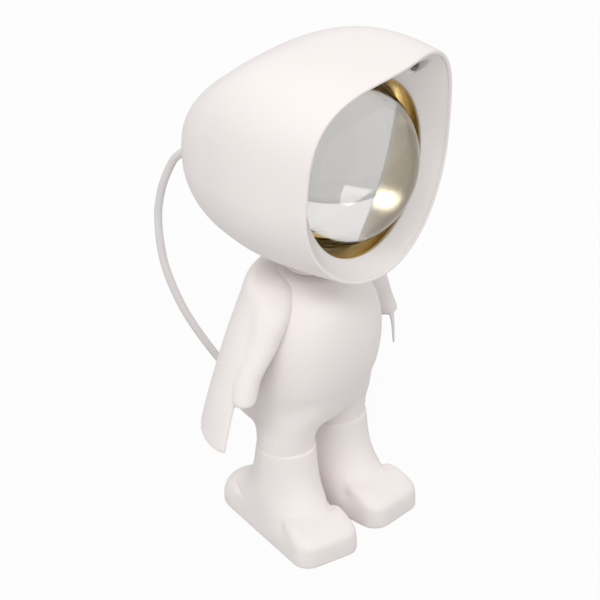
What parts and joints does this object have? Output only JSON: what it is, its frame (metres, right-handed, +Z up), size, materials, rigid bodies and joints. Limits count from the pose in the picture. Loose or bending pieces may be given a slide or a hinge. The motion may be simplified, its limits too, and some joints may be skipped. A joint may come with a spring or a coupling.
{
  "type": "desk lamp",
  "caption": "Spaceman desk lamp with a dome lens in a hooded head that tilts and turns on a caped, booted body, a push button at the back and a USB cord.",
  "frame": {"origin": "on the floor under the middle of the lamp without its cord", "axes": "+Z up, -Y the way the figure faces, -X its right side"},
  "size_m": [0.189, 0.1303, 0.2019],
  "materials": {
    "white_paint": "satin",
    "sole_plastic": "satin",
    "bush_plastic": "satin",
    "lens_glass": "polished",
    "gold_metal": "polished",
    "black_rubber": "matte",
    "mirror_sheet": "polished",
    "black_plastic": "satin",
    "board_aluminium": "satin",
    "led_phosphor": "satin",
    "heat_sink_aluminium": "satin",
    "lead_rubber": "satin",
    "cord_rubber": "satin",
    "felt": "matte",
    "plug_plastic": "satin",
    "plug_metal": "polished",
    "steel": "brushed"
  },
  "bodies": {
    "base": {"torso_front": "white_paint", "torso_back": "white_paint", "torso_screws": "steel", "cape": "white_paint", "cape_screws": "steel", "right_boot": "white_paint", "left_boot": "white_paint", "right_sole": "sole_plastic", "left_sole": "sole_plastic", "boot_weights": "steel", "leg_screws": "steel", "sole_screws": "steel", "foot_pads": "black_rubber", "neck_bush": "bush_plastic", "friction_ring": "felt", "cord_lower": "cord_rubber", "cord_coil": "cord_rubber", "cord_tail": "cord_rubber", "coil_tie": "black_plastic", "plug_body": "plug_plastic", "plug_shell": "plug_metal"},
    "neck": {"neck_swivel": "white_paint", "swivel_washer": "steel", "swivel_screw": "steel", "cord_upper": "cord_rubber"},
    "head": {"hood_shell": "white_paint", "front_bezel": "white_paint", "bezel_screws": "steel", "lens": "lens_glass", "lens_ring": "gold_metal", "lens_gasket": "black_rubber", "reflector": "mirror_sheet", "optic_barrel": "black_plastic", "barrel_screws": "steel", "led_board": "board_aluminium", "led_chip": "led_phosphor", "heat_sink": "heat_sink_aluminium", "sink_screws": "steel", "lamp_leads": "lead_rubber", "switch_body": "black_plastic", "switch_nut": "steel", "cord_gland": "cord_rubber", "tilt_pin": "steel", "tilt_nut": "steel", "tilt_washers": "steel"},
    "button": {"power_button": "white_paint"}
  },
  "joints": [
    {"name": "head_turn", "type": "hinge", "parent": "base", "child": "neck", "pos_m": [0, -0.01, 0.108], "axis": [0, 0, 1], "range_deg": [-60, 60], "deforming": ["cord_lower"]},
    {"name": "head_tilt", "type": "hinge", "parent": "neck", "child": "head", "pos_m": [0, -0.01, 0.1238], "axis": [1, 0, 0], "range_deg": [-12, 20], "deforming": ["cord_upper"]},
    {"name": "button_press", "type": "slide", "parent": "head", "child": "button", "axis": [0.4243, 0.8257, 0.3717], "range_m": [-0.0012, 0], "stiffness_N_per_m": 800}
  ]
}
